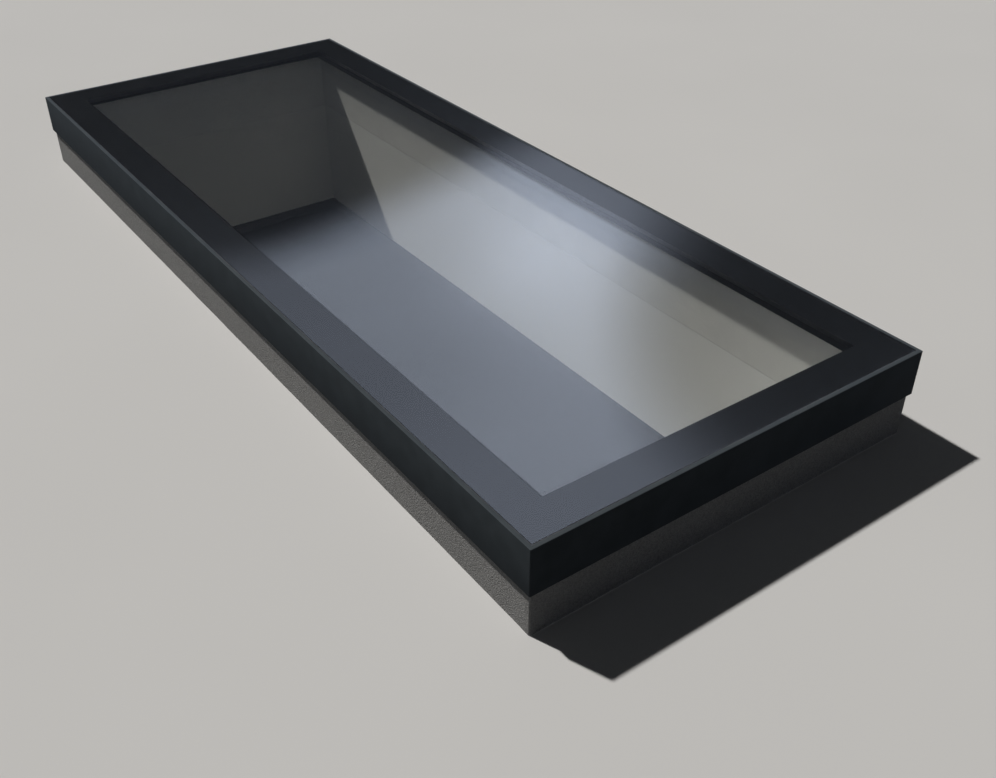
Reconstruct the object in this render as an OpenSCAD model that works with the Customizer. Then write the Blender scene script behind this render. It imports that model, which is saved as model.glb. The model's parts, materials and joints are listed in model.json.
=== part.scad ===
// Fixed flat-roof skylight on a felted timber kerb.
// Frame: +X across the short side, +Y along the length, +Z up.
// Origin: centre of the kerb's footprint, on the roof deck.
// Sections are drawn as [s, z]: s runs inwards from the skirt's outer face.

/* [Frame] */
// Outside width of the frame, across the short side
frame_w = 1000; // [600:10:1400]
// Outside length of the frame, along the long side
frame_l = 2500; // [900:10:3400]
// Height of the frame's outer face, from the drip edge to the rim
skirt_h = 106; // [90:1:130]
// Width of the metal rim beside the glass
rim_w = 8; // [5:0.5:12]
// Radius of the frame's upright outside corners
corner_r = 2; // [0.5:0.5:4]
// Wall of the outer aluminium profile
wall_t = 3; // [2:0.25:4]
// Height of the hollow box that carries the glass
box_h = 22; // [18:1:34]
// Wall of the inner, white aluminium profile
inner_wall_t = 2.5; // [2:0.25:3]
// Width of the inner profile's hollow box
inner_box_w = 17; // [14:1:26]
// Gap between the two profiles, bridged by the plastic strips
break_w = 15; // [10:1:24]

/* [Kerb] */
// Height of the kerb timber above the roof deck
kerb_h = 170; // [150:5:300]
// Thickness of the kerb timber
kerb_t = 63; // [60:1:100]
// From the skirt's outer face in to the felt
kerb_set = 6; // [6:1:16]
// Thickness of the mineral felt
felt_t = 4; // [2:0.5:6]
// Thickness of the lining boards inside the kerb
lining_t = 9.5; // [6:0.5:15]
// Height of the compressed foam seal between felt and frame
kerb_seal_h = 5; // [3:0.5:8]

/* [Glass] */
// Thickness of the toughened outer pane
outer_pane_t = 6; // [4:1:12]
// Gas gap between the panes
cavity_h = 16; // [12:1:20]
// Thickness of the laminated inner pane
inner_pane_t = 6.8; // [4:0.4:11]
// How far the glass stands above the rim
glass_proud = 1; // [0:0.5:4]
// Width of the sealant joint between rim and glass
joint_w = 2; // [1.5:0.5:6]
// Thickness of the glazing tapes under the outer pane
tape_h = 2; // [1:0.5:4]
// Width of the spacer bar between the panes
spacer_w = 6; // [5:0.5:10]
// Width of the edge seal outside the spacer
edge_seal_w = 4; // [3:0.5:8]

/* [Fixing] */
// Length of the screws that hold the frame to the kerb
fixing_l = 50; // [40:5:55]
// Largest distance between those screws
fixing_pitch = 400; // [200:10:600]
// From the frame's corner to its first screw
fixing_edge = 200; // [150:10:250]
// Length of the screws that join the kerb's corners
corner_screw_l = 120; // [110:10:160]
// Number of screws in each kerb corner
corner_screws_each = 3; // [2:1:4]

/* [Hidden] */
$fn = 48;
SIDES = ["left", "right", "front", "back"];

// Running gap round a piece that slides into another, and the smaller one in a dovetail
fit_gap = 0.2;
dovetail_gap = 0.05;
// How far a cutting tool runs past the surface that it cuts
cut_past = 1;

// Stations across the section, inwards from the skirt's face
s_felt = kerb_set;
s_kerb_out = s_felt + felt_t;
s_kerb_in = s_kerb_out + kerb_t;
s_inner_box = s_kerb_in - inner_box_w;
s_outer_box_in = s_inner_box - break_w;
leg_t = inner_wall_t;
s_leg_in = s_kerb_in + leg_t;
s_lining_in = s_kerb_in + lining_t;
trim_gap = 0.5;
trim_t = 2;
arm_min = 7.5;
s_trim_out = max(s_lining_in + trim_gap, s_leg_in + arm_min);
s_trim_in = s_trim_out + trim_t;
s_pane = rim_w + joint_w;
pane_gap = 3.5;
s_inner_pane = s_leg_in + pane_gap;
s_spacer = s_inner_pane + edge_seal_w;
s_spacer_in = s_spacer + spacer_w;

// Levels above the roof deck
z_felt_top = kerb_h + felt_t;
z_box = z_felt_top + kerb_seal_h;
z_shelf = z_box + box_h;
z_pane = z_shelf + tape_h;
z_glass_top = z_pane + outer_pane_t;
z_rim = z_glass_top - glass_proud;
z_drip = z_rim - skirt_h;
z_cavity = z_pane - cavity_h;
z_inner_pane = z_cavity - inner_pane_t;
gasket_h = 4;
z_trim_top = z_inner_pane - gasket_h;
leg_drop = 41;
z_leg = z_box - leg_drop;
lining_gap = 2;
z_lining_top = z_leg - lining_gap;
trim_lap = 12;
z_trim = z_lining_top - trim_lap;

// Outer profile
rim_r = 1;
drip_w = 2.5;
drip_h = 2;
web_t = 2.5;
web_share = 0.55;
s_web = wall_t + (s_outer_box_in - 2 * wall_t - web_t) * web_share;

// Thermal break: dovetail heads at both ends of a thin strip, one strip near each box face
head_depth = 2;
head_mouth = 2.4;
head_root = 3.2;
strip_t = 2;
strip_inset = 4;
break_levels = [z_box + strip_inset, z_shelf - strip_inset];
break_wall_t = max(wall_t, head_depth + 1);

// Inner profile and the snap-on trim: two ribs on the leg, hooked by two arms on the trim
inner_skin_t = 2;
rib_reach = 4.5;
rib_t = 1.5;
barb_t = 0.8;
barb_w = 1.5;
arm_t = 1.5;
arm_gap = 0.4;
arm_room = 1.5;
arm_start = s_leg_in + 0.5;
flange_w = 4;
z_rib_low = z_leg + 3;
z_arm_low = z_rib_low - barb_t - arm_gap - arm_t;
z_arm_high = z_trim_top - trim_t - arm_room - arm_t;
z_rib_high = z_arm_high - arm_gap - barb_t - rib_t;

// Seals
seal_w = 12;
bond_gap = 3;
bond_w = 9;
structural_stop = 6;
inner_tape_w = 12;
gasket_w = 4.5;
gasket_set = 0.5;
felt_stop = 1;
seal_set = 0.5;

// Corner pieces
cleat_leg = 60;
inner_cleat_leg = 50;
key_leg = 32;
spacer_wall = 0.8;

// Screws
fixing_r = 2.4;
fixing_pilot_r = 2.5;
fixing_hole_r = 2.75;
fixing_head_r = 4.5;
fixing_head_h = 3;
z_fixing = (z_rib_low + rib_t + z_rib_high) / 2;
corner_screw_r = 2.9;
corner_hole_r = 3;
corner_head_r = 5.5;
corner_head_h = 3.5;
point_h = 6;
point_r = 0.4;
recess_w = 1.2;
recess_depth = 1.4;
recess_share = 0.55;

anthracite = [0.16, 0.19, 0.21];
white = [0.93, 0.93, 0.92];
dark_rubber = [0.07, 0.07, 0.07];
steel = [0.72, 0.73, 0.75];
timber = [0.78, 0.66, 0.48];

function is_long(side) = side == "left" || side == "right";
function side_length(side) = is_long(side) ? frame_l : frame_w;

// Places what is drawn for the left side, with x = s and y along the side, at any side
module at_side(side) {
    if (side == "left") translate([-frame_w / 2, 0, 0]) children();
    if (side == "right") translate([frame_w / 2, 0, 0]) rotate([0, 0, 180]) children();
    if (side == "front") translate([0, -frame_l / 2, 0]) rotate([0, 0, 90]) children();
    if (side == "back") translate([0, frame_l / 2, 0]) rotate([0, 0, -90]) children();
}

// A section extruded along a side, from its middle
module extruded(length) {
    translate([0, length / 2, 0]) rotate([90, 0, 0]) linear_extrude(length) children();
}

// The same with both ends cut at 45 degrees
module mitred(side) {
    length = side_length(side);
    reach = max(s_spacer_in, s_trim_in) + cut_past;
    at_side(side) intersection() {
        extruded(length) children();
        translate([0, 0, -cut_past]) linear_extrude(z_glass_top + 2 * cut_past) polygon([
            [0, -length / 2],
            [reach, -length / 2 + reach],
            [reach, length / 2 - reach],
            [0, length / 2]
        ]);
    }
}

module box_section(s0, s1, z0, z1) {
    translate([s0, z0]) square([s1 - s0, z1 - z0]);
}

// A closed rectangular loop of plain section
module loop(s0, s1, z0, z1) {
    translate([0, 0, z0]) linear_extrude(z1 - z0) difference() {
        square([frame_w - 2 * s0, frame_l - 2 * s0], center = true);
        square([frame_w - 2 * s1, frame_l - 2 * s1], center = true);
    }
}

// A rectangular plate set in from the frame on all sides
module plate(s, z, thickness) {
    translate([0, 0, z + thickness / 2])
        cube([frame_w - 2 * s, frame_l - 2 * s, thickness], center = true);
}

// A dovetail whose mouth lies on s = 0 and whose root lies at s = depth
module dovetail(mouth, root, depth) {
    polygon([[0, -mouth / 2], [depth, -root / 2], [depth, root / 2], [0, mouth / 2]]);
}

// ---- Kerb ----

function corner_screw_level(i) = kerb_h * (i + 0.5) / corner_screws_each;

// Draws the child at every corner screw's place, with z = 0 on the rail's face and +Z into the timber
module at_corner_screws() {
    for (end = [-1, 1]) for (hand = [-1, 1]) for (i = [0 : corner_screws_each - 1])
        translate([hand * (frame_w / 2 - s_kerb_out), end * (frame_l / 2 - s_kerb_out - kerb_t / 2),
                   corner_screw_level(i)])
            rotate([0, -90 * hand, 0]) children();
}

// Draws the child at every frame screw's place along a side, with z = 0 at s and +Z outwards into the kerb
module at_fixings(side, s) {
    at_side(side) for (u = fixing_places(side)) translate([s, u, z_fixing]) rotate([0, -90, 0]) children();
}

module kerb_rail(side) {
    length = is_long(side) ? frame_l - 2 * s_kerb_out : frame_w - 2 * s_kerb_in;
    color(timber) difference() {
        at_side(side) extruded(length) box_section(s_kerb_out, s_kerb_in, 0, kerb_h);
        at_corner_screws() {
            translate([0, 0, -cut_past]) cylinder(r = corner_hole_r, h = corner_screw_l + 2 * cut_past);
            cylinder(r1 = corner_head_r + fit_gap, r2 = corner_hole_r, h = corner_head_h + fit_gap);
        }
        at_fixings(side, s_kerb_in)
            translate([0, 0, -cut_past]) cylinder(r = fixing_pilot_r, h = fixing_l + cut_past);
    }
}

module kerb_corner_screws() {
    color(steel) at_corner_screws() difference() {
        union() {
            cylinder(r1 = corner_head_r, r2 = corner_screw_r, h = corner_head_h);
            pointed_shank(corner_screw_r, corner_screw_l);
        }
        cross_recess(corner_head_r);
    }
}

module pointed_shank(r, length) {
    cylinder(r = r, h = length - point_h);
    translate([0, 0, length - point_h]) cylinder(r1 = r, r2 = point_r, h = point_h);
}

// A cross-shaped driver recess, cut into a head whose face lies on z = 0
module cross_recess(head_r) {
    reach = head_r * recess_share;
    for (turn = [0, 90]) rotate([0, 0, turn])
        translate([-reach, -recess_w / 2, -cut_past]) cube([2 * reach, recess_w, recess_depth + cut_past]);
}

module lining_board(side) {
    length = is_long(side) ? frame_l - 2 * s_kerb_in : frame_w - 2 * s_lining_in;
    color(white) at_side(side) extruded(length) box_section(s_kerb_in, s_lining_in, 0, z_lining_top);
}

module felt(side) {
    color([0.55, 0.54, 0.53]) mitred(side) {
        box_section(s_felt, s_kerb_out, 0, z_felt_top);
        box_section(s_felt, s_kerb_in - felt_stop, kerb_h, z_felt_top);
    }
}

module kerb_seal_outer() {
    middle = (s_kerb_out + s_outer_box_in) / 2;
    color(dark_rubber) loop(middle - seal_w / 2, middle + seal_w / 2, z_felt_top, z_box);
}

module kerb_seal_inner() {
    inner_edge = s_kerb_in - felt_stop - seal_set;
    color(dark_rubber) loop(inner_edge - seal_w, inner_edge, z_felt_top, z_box);
}

// ---- Frame ----

module outer_section() {
    difference() {
        union() {
            box_section(0, wall_t, z_drip, z_shelf);
            box_section(0, wall_t + drip_w, z_drip, z_drip + drip_h);
            box_section(0, s_outer_box_in, z_box, z_shelf);
            box_section(0, rim_w, z_box, z_rim - rim_r);
            box_section(rim_r, rim_w, z_box, z_rim);
            translate([rim_r, z_rim - rim_r]) circle(r = rim_r);
        }
        box_section(wall_t, s_web, z_box + wall_t, z_shelf - wall_t);
        box_section(s_web + web_t, s_outer_box_in - break_wall_t, z_box + wall_t, z_shelf - wall_t);
        for (z = break_levels) translate([s_outer_box_in, z]) mirror([1, 0])
            dovetail(head_mouth, head_root, head_depth);
    }
}

module frame_profile(side) {
    color(anthracite) difference() {
        mitred(side) outer_section();
        corner_rounding();
    }
}

// What is cut away to round the frame's upright corners
module corner_rounding() {
    for (end = [-1, 1]) for (hand = [-1, 1])
        translate([hand * (frame_w / 2 - corner_r), end * (frame_l / 2 - corner_r), z_drip - cut_past])
            difference() {
                translate([hand > 0 ? 0 : -corner_r - cut_past, end > 0 ? 0 : -corner_r - cut_past, 0])
                    cube([corner_r + cut_past, corner_r + cut_past, skirt_h + 2 * cut_past]);
                translate([0, 0, -cut_past]) cylinder(r = corner_r, h = skirt_h + 4 * cut_past);
            }
}

// An L-shaped block in a frame corner, filling the hollow between two stations and two levels
module corner_block(end, hand, s0, s1, z0, z1, leg) {
    a = s0 + fit_gap;
    b = s1 - fit_gap;
    translate([hand * frame_w / 2, end * frame_l / 2, z0 + fit_gap]) scale([-hand, -end, 1])
        linear_extrude(z1 - z0 - 2 * fit_gap) polygon([
            [a, a], [a + leg, a], [a + leg, b], [b, b], [b, a + leg], [a, a + leg]
        ]);
}

module corner_cleat(end, hand) {
    color(steel) corner_block(end, hand, wall_t, s_web, z_box + wall_t, z_shelf - wall_t, cleat_leg);
}

// Two flat strips, each with a dovetail head at both ends
module strip_section() {
    root = head_root / 2 - dovetail_gap;
    mouth = head_mouth / 2 - dovetail_gap;
    depth = head_depth - dovetail_gap;
    half = break_w / 2;
    neck = strip_t / 2;
    profile = [[-half - depth, -root], [-half, -mouth], [-half, -neck], [half, -neck], [half, -mouth],
               [half + depth, -root]];
    other_half = [for (i = [len(profile) - 1 : -1 : 0]) [profile[i][0], -profile[i][1]]];
    for (z = break_levels) translate([s_outer_box_in + half, z]) polygon(concat(profile, other_half));
}

module thermal_break(side) {
    color(dark_rubber) mitred(side) strip_section();
}

// A rib on the leg with a barb at its tip; up is 1 where the barb points up
module rib_section(z, up) {
    translate([s_leg_in, z]) {
        square([rib_reach, rib_t]);
        translate([rib_reach - barb_w, up > 0 ? 0 : -barb_t]) square([barb_w, rib_t + barb_t]);
    }
}

module inner_section() {
    difference() {
        union() {
            box_section(s_inner_box, s_leg_in, z_box, z_shelf);
            box_section(s_kerb_in, s_leg_in, z_leg, z_shelf);
            rib_section(z_rib_low, -1);
            rib_section(z_rib_high, 1);
        }
        box_section(s_inner_box + break_wall_t, s_kerb_in, z_box + inner_skin_t, z_shelf - inner_skin_t);
        for (z = break_levels) translate([s_inner_box, z]) dovetail(head_mouth, head_root, head_depth);
    }
}

module inner_profile(side) {
    color(white) difference() {
        mitred(side) inner_section();
        at_fixings(side, s_leg_in)
            translate([0, 0, -cut_past]) cylinder(r = fixing_hole_r, h = leg_t + 2 * cut_past);
    }
}

module inner_cleats() {
    color(steel) for (end = [-1, 1]) for (hand = [-1, 1])
        corner_block(end, hand, s_inner_box + break_wall_t, s_kerb_in, z_box + inner_skin_t,
                     z_shelf - inner_skin_t, inner_cleat_leg);
}

module cover_trim(side) {
    color(white) mitred(side) {
        box_section(s_trim_out, s_trim_in, z_trim, z_trim_top);
        box_section(arm_start, s_trim_in, z_arm_low, z_arm_low + arm_t);
        box_section(arm_start, arm_start + barb_w, z_arm_low, z_arm_low + arm_t + barb_t);
        box_section(arm_start, s_trim_in, z_arm_high, z_arm_high + arm_t);
        box_section(arm_start, arm_start + barb_w, z_arm_high - barb_t, z_arm_high + arm_t);
        box_section(s_trim_out - flange_w, s_trim_in, z_trim_top - trim_t, z_trim_top);
    }
}

// ---- Glass and seals ----

module bonding_tape() {
    s = s_pane + bond_gap;
    color(dark_rubber) loop(s, s + bond_w, z_shelf, z_pane);
}

module structural_seal() {
    s = s_pane + 2 * bond_gap + bond_w;
    color(dark_rubber) loop(s, s_outer_box_in - structural_stop, z_shelf, z_pane);
}

module inner_glazing_tape() {
    middle = (s_inner_box + s_leg_in) / 2;
    color(dark_rubber) loop(middle - inner_tape_w / 2, middle + inner_tape_w / 2, z_shelf, z_pane);
}

module outer_pane() {
    color([0.55, 0.63, 0.66, 0.5]) plate(s_pane, z_pane, outer_pane_t);
}

module inner_pane() {
    color([0.55, 0.63, 0.66, 0.5]) plate(s_inner_pane, z_inner_pane, inner_pane_t);
}

module edge_seal() {
    color(dark_rubber) loop(s_inner_pane, s_spacer, z_cavity, z_pane);
}

module spacer_bar(side) {
    color([0.2, 0.2, 0.2]) mitred(side) difference() {
        box_section(s_spacer, s_spacer_in, z_cavity, z_pane);
        box_section(s_spacer + spacer_wall, s_spacer_in - spacer_wall,
                    z_cavity + spacer_wall, z_pane - spacer_wall);
    }
}

module spacer_corner_keys() {
    color(dark_rubber) for (end = [-1, 1]) for (hand = [-1, 1])
        corner_block(end, hand, s_spacer + spacer_wall, s_spacer_in - spacer_wall,
                     z_cavity + spacer_wall, z_pane - spacer_wall, key_leg);
}

module weather_seal() {
    color(dark_rubber) loop(rim_w, s_pane, z_shelf, z_rim);
}

module inner_gasket() {
    s = s_trim_in - gasket_set;
    color(dark_rubber) loop(s - gasket_w, s, z_trim_top, z_inner_pane);
}

// ---- Frame screws ----

// Screw positions along a side, evenly spaced and mirrored about its middle
function fixing_places(side) =
    let (run = side_length(side) - 2 * fixing_edge, bays = max(1, ceil(run / fixing_pitch)))
    [for (i = [0 : bays]) -run / 2 + i * run / bays];

module frame_fixing_screws() {
    color(steel) for (side = SIDES) at_fixings(side, s_leg_in) difference() {
        union() {
            translate([0, 0, -fixing_head_h]) cylinder(r = fixing_head_r, h = fixing_head_h);
            pointed_shank(fixing_r, fixing_l);
        }
        translate([0, 0, -fixing_head_h]) cross_recess(fixing_head_r);
    }
}

// ---- Assembly ----

for (side = SIDES) {
    kerb_rail(side);
    lining_board(side);
    felt(side);
    frame_profile(side);
    inner_profile(side);
    thermal_break(side);
    spacer_bar(side);
    cover_trim(side);
}
corner_cleat(-1, -1);  // corner_cleat_front_left
corner_cleat(-1, 1);  // corner_cleat_front_right
corner_cleat(1, -1);  // corner_cleat_back_left
corner_cleat(1, 1);  // corner_cleat_back_right
kerb_corner_screws();
kerb_seal_outer();
kerb_seal_inner();
inner_cleats();
bonding_tape();
structural_seal();
inner_glazing_tape();
outer_pane();
edge_seal();
spacer_corner_keys();
inner_pane();
weather_seal();
inner_gasket();
frame_fixing_screws();
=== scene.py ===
import json
import math

import bmesh
import bpy
from mathutils import Matrix, Vector, noise
from mathutils.geometry import tessellate_polygon


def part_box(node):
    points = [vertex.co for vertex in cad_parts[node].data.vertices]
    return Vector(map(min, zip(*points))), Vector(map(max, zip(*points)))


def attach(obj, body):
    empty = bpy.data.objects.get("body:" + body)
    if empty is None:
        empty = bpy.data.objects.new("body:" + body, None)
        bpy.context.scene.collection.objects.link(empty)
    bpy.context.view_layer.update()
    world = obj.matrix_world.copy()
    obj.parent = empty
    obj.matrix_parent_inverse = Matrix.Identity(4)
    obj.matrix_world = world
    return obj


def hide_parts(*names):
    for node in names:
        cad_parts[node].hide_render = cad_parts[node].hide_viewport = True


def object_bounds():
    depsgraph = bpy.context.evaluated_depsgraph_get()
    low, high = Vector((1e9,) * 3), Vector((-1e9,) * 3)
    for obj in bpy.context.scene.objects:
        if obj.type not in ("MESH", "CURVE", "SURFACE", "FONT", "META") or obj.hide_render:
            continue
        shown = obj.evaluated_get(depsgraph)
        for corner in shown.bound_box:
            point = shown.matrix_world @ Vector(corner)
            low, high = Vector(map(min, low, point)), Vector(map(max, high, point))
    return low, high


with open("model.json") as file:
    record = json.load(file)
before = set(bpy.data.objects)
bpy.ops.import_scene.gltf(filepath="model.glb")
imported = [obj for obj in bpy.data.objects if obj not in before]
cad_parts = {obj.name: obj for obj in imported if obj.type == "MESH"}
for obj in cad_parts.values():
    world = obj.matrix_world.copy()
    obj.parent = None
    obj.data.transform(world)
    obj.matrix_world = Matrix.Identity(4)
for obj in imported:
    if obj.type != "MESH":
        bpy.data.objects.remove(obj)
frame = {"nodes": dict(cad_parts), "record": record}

cadLow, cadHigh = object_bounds()
scene = bpy.context.scene
sides = ("left", "right", "front", "back")
millimetre = 0.001  # every other length is in metres
noiseRange = (0.3, 0.7)  # a noise texture seldom leaves this range


# Helpers that add nodes to a tree. Each value is a number, a tuple or another node's socket.
def addNode(tree, kind, inputs=None, **settings):
    node = tree.nodes.new("ShaderNode" + kind)
    for name, value in settings.items():
        setattr(node, name, value)
    for key, value in (inputs or {}).items():
        if isinstance(value, bpy.types.NodeSocket):
            tree.links.new(value, node.inputs[key])
        else:
            node.inputs[key].default_value = value
    return node


def maths(tree, operation, *values, clamp=False):
    inputs = dict(enumerate(values))
    return addNode(tree, "Math", inputs, operation=operation, use_clamp=clamp).outputs[0]


def product(tree, first, second):
    return maths(tree, "MULTIPLY", first, second)


def greatest(tree, first, *others):
    for other in others:
        first = maths(tree, "MAXIMUM", first, other)
    return first


def vectorMaths(tree, operation, *values, output="Vector"):
    inputs = dict(enumerate(values))
    return addNode(tree, "VectorMath", inputs, operation=operation).outputs[output]


def objectPlace(tree):
    return addNode(tree, "TexCoord").outputs["Object"]


def noiseAt(tree, place, scale, detail, output="Fac"):
    inputs = {"Vector": place, "Scale": scale, "Detail": detail}
    return addNode(tree, "TexNoise", inputs).outputs[output]


def mixColours(tree, factor, first, second, blend="MIX"):
    node = addNode(tree, "Mix", {"Factor": factor}, data_type="RGBA", blend_type=blend)
    for slot, value in ((6, first), (7, second)):  # the Mix node's two colours
        if isinstance(value, bpy.types.NodeSocket):
            tree.links.new(value, node.inputs[slot])
        else:
            node.inputs[slot].default_value = (*value, 1)
    return node.outputs[2]  # its colour result


def remap(tree, value, source, target=(0.0, 1.0)):
    inputs = {"Value": value, "From Min": source[0], "From Max": source[1],
              "To Min": target[0], "To Max": target[1]}
    return addNode(tree, "MapRange", inputs, interpolation_type="SMOOTHSTEP").outputs[0]


def bumpFrom(tree, height, distance, strength=1.0, normal=None):
    inputs = {"Height": height, "Distance": distance, "Strength": strength}
    if normal is not None:
        inputs["Normal"] = normal
    return addNode(tree, "Bump", inputs).outputs[0]


def newGroup(name, inputs, outputs):
    group = bpy.data.node_groups.new(name, "ShaderNodeTree")
    for label, value in inputs.items():
        kind = "NodeSocketVector" if isinstance(value, tuple) else "NodeSocketFloat"
        group.interface.new_socket(label, in_out="INPUT", socket_type=kind).default_value = value
    for label in outputs:
        group.interface.new_socket(label, in_out="OUTPUT", socket_type="NodeSocketFloat")
    given = group.nodes.new("NodeGroupInput").outputs
    result = group.nodes.new("NodeGroupOutput").inputs
    return group, given, result


def useGroup(tree, group, **inputs):
    node = tree.nodes.new("ShaderNodeGroup")
    node.node_tree = group
    for label, value in inputs.items():
        node.inputs[label].default_value = value
    return node.outputs


# Fine cloudy grain: a value from 0 to 1 that changes over the surface
def makeGrainGroup():
    inputs = {"Scale": 500.0, "Detail": 3.0, "Stretch": (1.0, 1.0, 1.0)}
    group, given, result = newGroup("Grain", inputs, ["Value"])
    stretched = vectorMaths(group, "MULTIPLY", objectPlace(group), given["Stretch"])
    cloud = noiseAt(group, stretched, given["Scale"], detail=given["Detail"])
    group.links.new(cloud, result["Value"])
    return group


edgeWear = {"agreement": (0.995, 0.86), "patches": (0.4, 0.62), "least": 0.15}


# Where edges have rubbed: the rounded normal agrees less with the true one near an edge
def makeEdgeWearGroup():
    group, given, result = newGroup("Edge wear", {"Radius": 0.002, "Breakup": 60.0}, ["Mask"])
    rounded = addNode(group, "Bevel", {"Radius": given["Radius"]}, samples=4).outputs[0]
    straight = addNode(group, "NewGeometry").outputs["Normal"]
    agreement = vectorMaths(group, "DOT_PRODUCT", rounded, straight, output="Value")
    edge = remap(group, agreement, edgeWear["agreement"])
    patches = noiseAt(group, objectPlace(group), given["Breakup"], detail=5.0)
    broken = remap(group, patches, edgeWear["patches"], (edgeWear["least"], 1.0))
    group.links.new(product(group, edge, broken), result["Mask"])
    return group


dustCover = {"facingUp": (0.2, 1.0), "patches": (0.4, 0.7), "leastPatch": 0.3,
             "specks": (0.35, 0.7), "leastSpeck": 0.4, "roughens": 0.12,
             "paleDust": (0.60, 0.58, 0.54), "darkDust": (0.25, 0.24, 0.23)}


# Dust lies on what faces up, in soft patches
def makeDustGroup():
    group, given, result = newGroup("Dust", {"Patches": 9.0, "Specks": 700.0}, ["Mask"])
    normal = addNode(group, "NewGeometry").outputs["Normal"]
    upward = addNode(group, "SeparateXYZ", {0: normal}).outputs[2]
    place = objectPlace(group)
    patches = noiseAt(group, place, given["Patches"], detail=4.0)
    specks = noiseAt(group, place, given["Specks"], detail=1.0)
    patchy = remap(group, patches, dustCover["patches"], (dustCover["leastPatch"], 1.0))
    lying = product(group, remap(group, upward, dustCover["facingUp"]), patchy)
    speckled = remap(group, specks, dustCover["specks"], (dustCover["leastSpeck"], 1.0))
    group.links.new(product(group, lying, speckled), result["Mask"])
    return group


chippings = {"wander": 0.0012, "steepness": 1.3, "leastHeight": 0.5, "toneHeight": 0.6,
             "clumpHeight": 1.6, "chipShare": 0.55, "clumpShare": 0.45}


# Mineral chippings pressed into bitumen: a tone for each one, and its height
def makeChippingsGroup():
    inputs = {"Scale": 300.0, "Clumps": 70.0}
    group, given, result = newGroup("Chippings", inputs, ["Tone", "Height"])
    place = objectPlace(group)
    wander = noiseAt(group, place, given["Scale"], detail=1.0, output="Color")
    bent = vectorMaths(group, "MULTIPLY_ADD", wander, (chippings["wander"],) * 3, place)
    voronoi = {"Vector": bent, "Scale": given["Scale"], "Randomness": 1.0}
    chips = addNode(group, "TexVoronoi", voronoi).outputs
    chipTone = addNode(group, "SeparateColor", {0: chips["Color"]}).outputs[0]
    clumps = noiseAt(group, place, given["Clumps"], detail=4.0)
    slope = product(group, chips["Distance"], chippings["steepness"])
    domed = maths(group, "SUBTRACT", 1.0, slope, clamp=True)
    taller = maths(group, "MULTIPLY_ADD", chipTone, chippings["toneHeight"],
                   chippings["leastHeight"])
    raised = product(group, domed, taller)
    chipPart = product(group, chipTone, chippings["chipShare"])
    clumpPart = product(group, clumps, chippings["clumpShare"])
    swell = product(group, clumps, chippings["clumpHeight"])
    group.links.new(maths(group, "ADD", chipPart, clumpPart), result["Tone"])
    group.links.new(maths(group, "ADD", raised, swell), result["Height"])
    return group


pineGrain = {"swayScale": 9.0, "sway": 0.09, "poreScale": 900.0}


# Softwood: growth rings seen along the board, with fine pores drawn out along it
def makePineGroup():
    inputs = {"Along": (1.0, 0.04, 1.0), "Rings": 62.0}
    group, given, result = newGroup("Pine", inputs, ["Rings", "Pores"])
    drawn = vectorMaths(group, "MULTIPLY", objectPlace(group), given["Along"])
    sway = noiseAt(group, drawn, pineGrain["swayScale"], detail=2.0, output="Color")
    bent = vectorMaths(group, "MULTIPLY_ADD", sway, (pineGrain["sway"],) * 3, drawn)
    wave = {"Vector": bent, "Scale": given["Rings"], "Distortion": 1.5, "Detail": 2.0}
    rings = addNode(group, "TexWave", wave, wave_type="RINGS", rings_direction="Y",
                    wave_profile="SAW")
    pores = noiseAt(group, drawn, pineGrain["poreScale"], detail=3.0)
    group.links.new(rings.outputs["Fac"], result["Rings"])
    group.links.new(pores, result["Pores"])
    return group


grainGroup = makeGrainGroup()
edgeWearGroup = makeEdgeWearGroup()
dustGroup = makeDustGroup()
chippingsGroup = makeChippingsGroup()
pineGroup = makePineGroup()
print("shared effects made")


def newMaterial(name, **plain):
    material = bpy.data.materials.new(name)
    material.use_nodes = True
    shader = material.node_tree.nodes["Principled BSDF"]
    for label, value in plain.items():
        shader.inputs[label.replace("_", " ")].default_value = value
    return material, material.node_tree, shader.inputs


# The surface shows one shader where the share is 0 and the other where it is 1
def blendShaders(tree, share, first, second):
    mixed = addNode(tree, "MixShader", {0: share, 1: first, 2: second}).outputs[0]
    tree.links.new(mixed, tree.nodes["Material Output"].inputs["Surface"])


# Coloured surface with grain in its gloss and relief, paler at rubbed edges and under dust
def makeCoating(name, look):
    material, tree, shader = newMaterial(name, Specular_IOR_Level=look["specular"])
    mottle = useGroup(tree, grainGroup, Scale=look["mottleScale"], Detail=4.0)["Value"]
    peel = useGroup(tree, grainGroup, Scale=look["peelScale"], Detail=2.0)["Value"]
    worn = useGroup(tree, edgeWearGroup, Radius=look["wearRadius"])["Mask"]
    dusty = useGroup(tree, dustGroup)["Mask"]
    base = mixColours(tree, remap(tree, mottle, noiseRange), look["dark"], look["light"])
    rubbed = mixColours(tree, product(tree, worn, look["wear"]), base, look["worn"])
    dusted = mixColours(tree, product(tree, dusty, look["dust"]), rubbed, look["dustColour"])
    gloss = remap(tree, mottle, noiseRange, look["rough"])
    dulled = maths(tree, "ADD", gloss, product(tree, dusty, dustCover["roughens"]))
    tree.links.new(dusted, shader["Base Color"])
    tree.links.new(dulled, shader["Roughness"])
    tree.links.new(bumpFrom(tree, peel, look["peelDepth"]), shader["Normal"])
    return material


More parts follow.
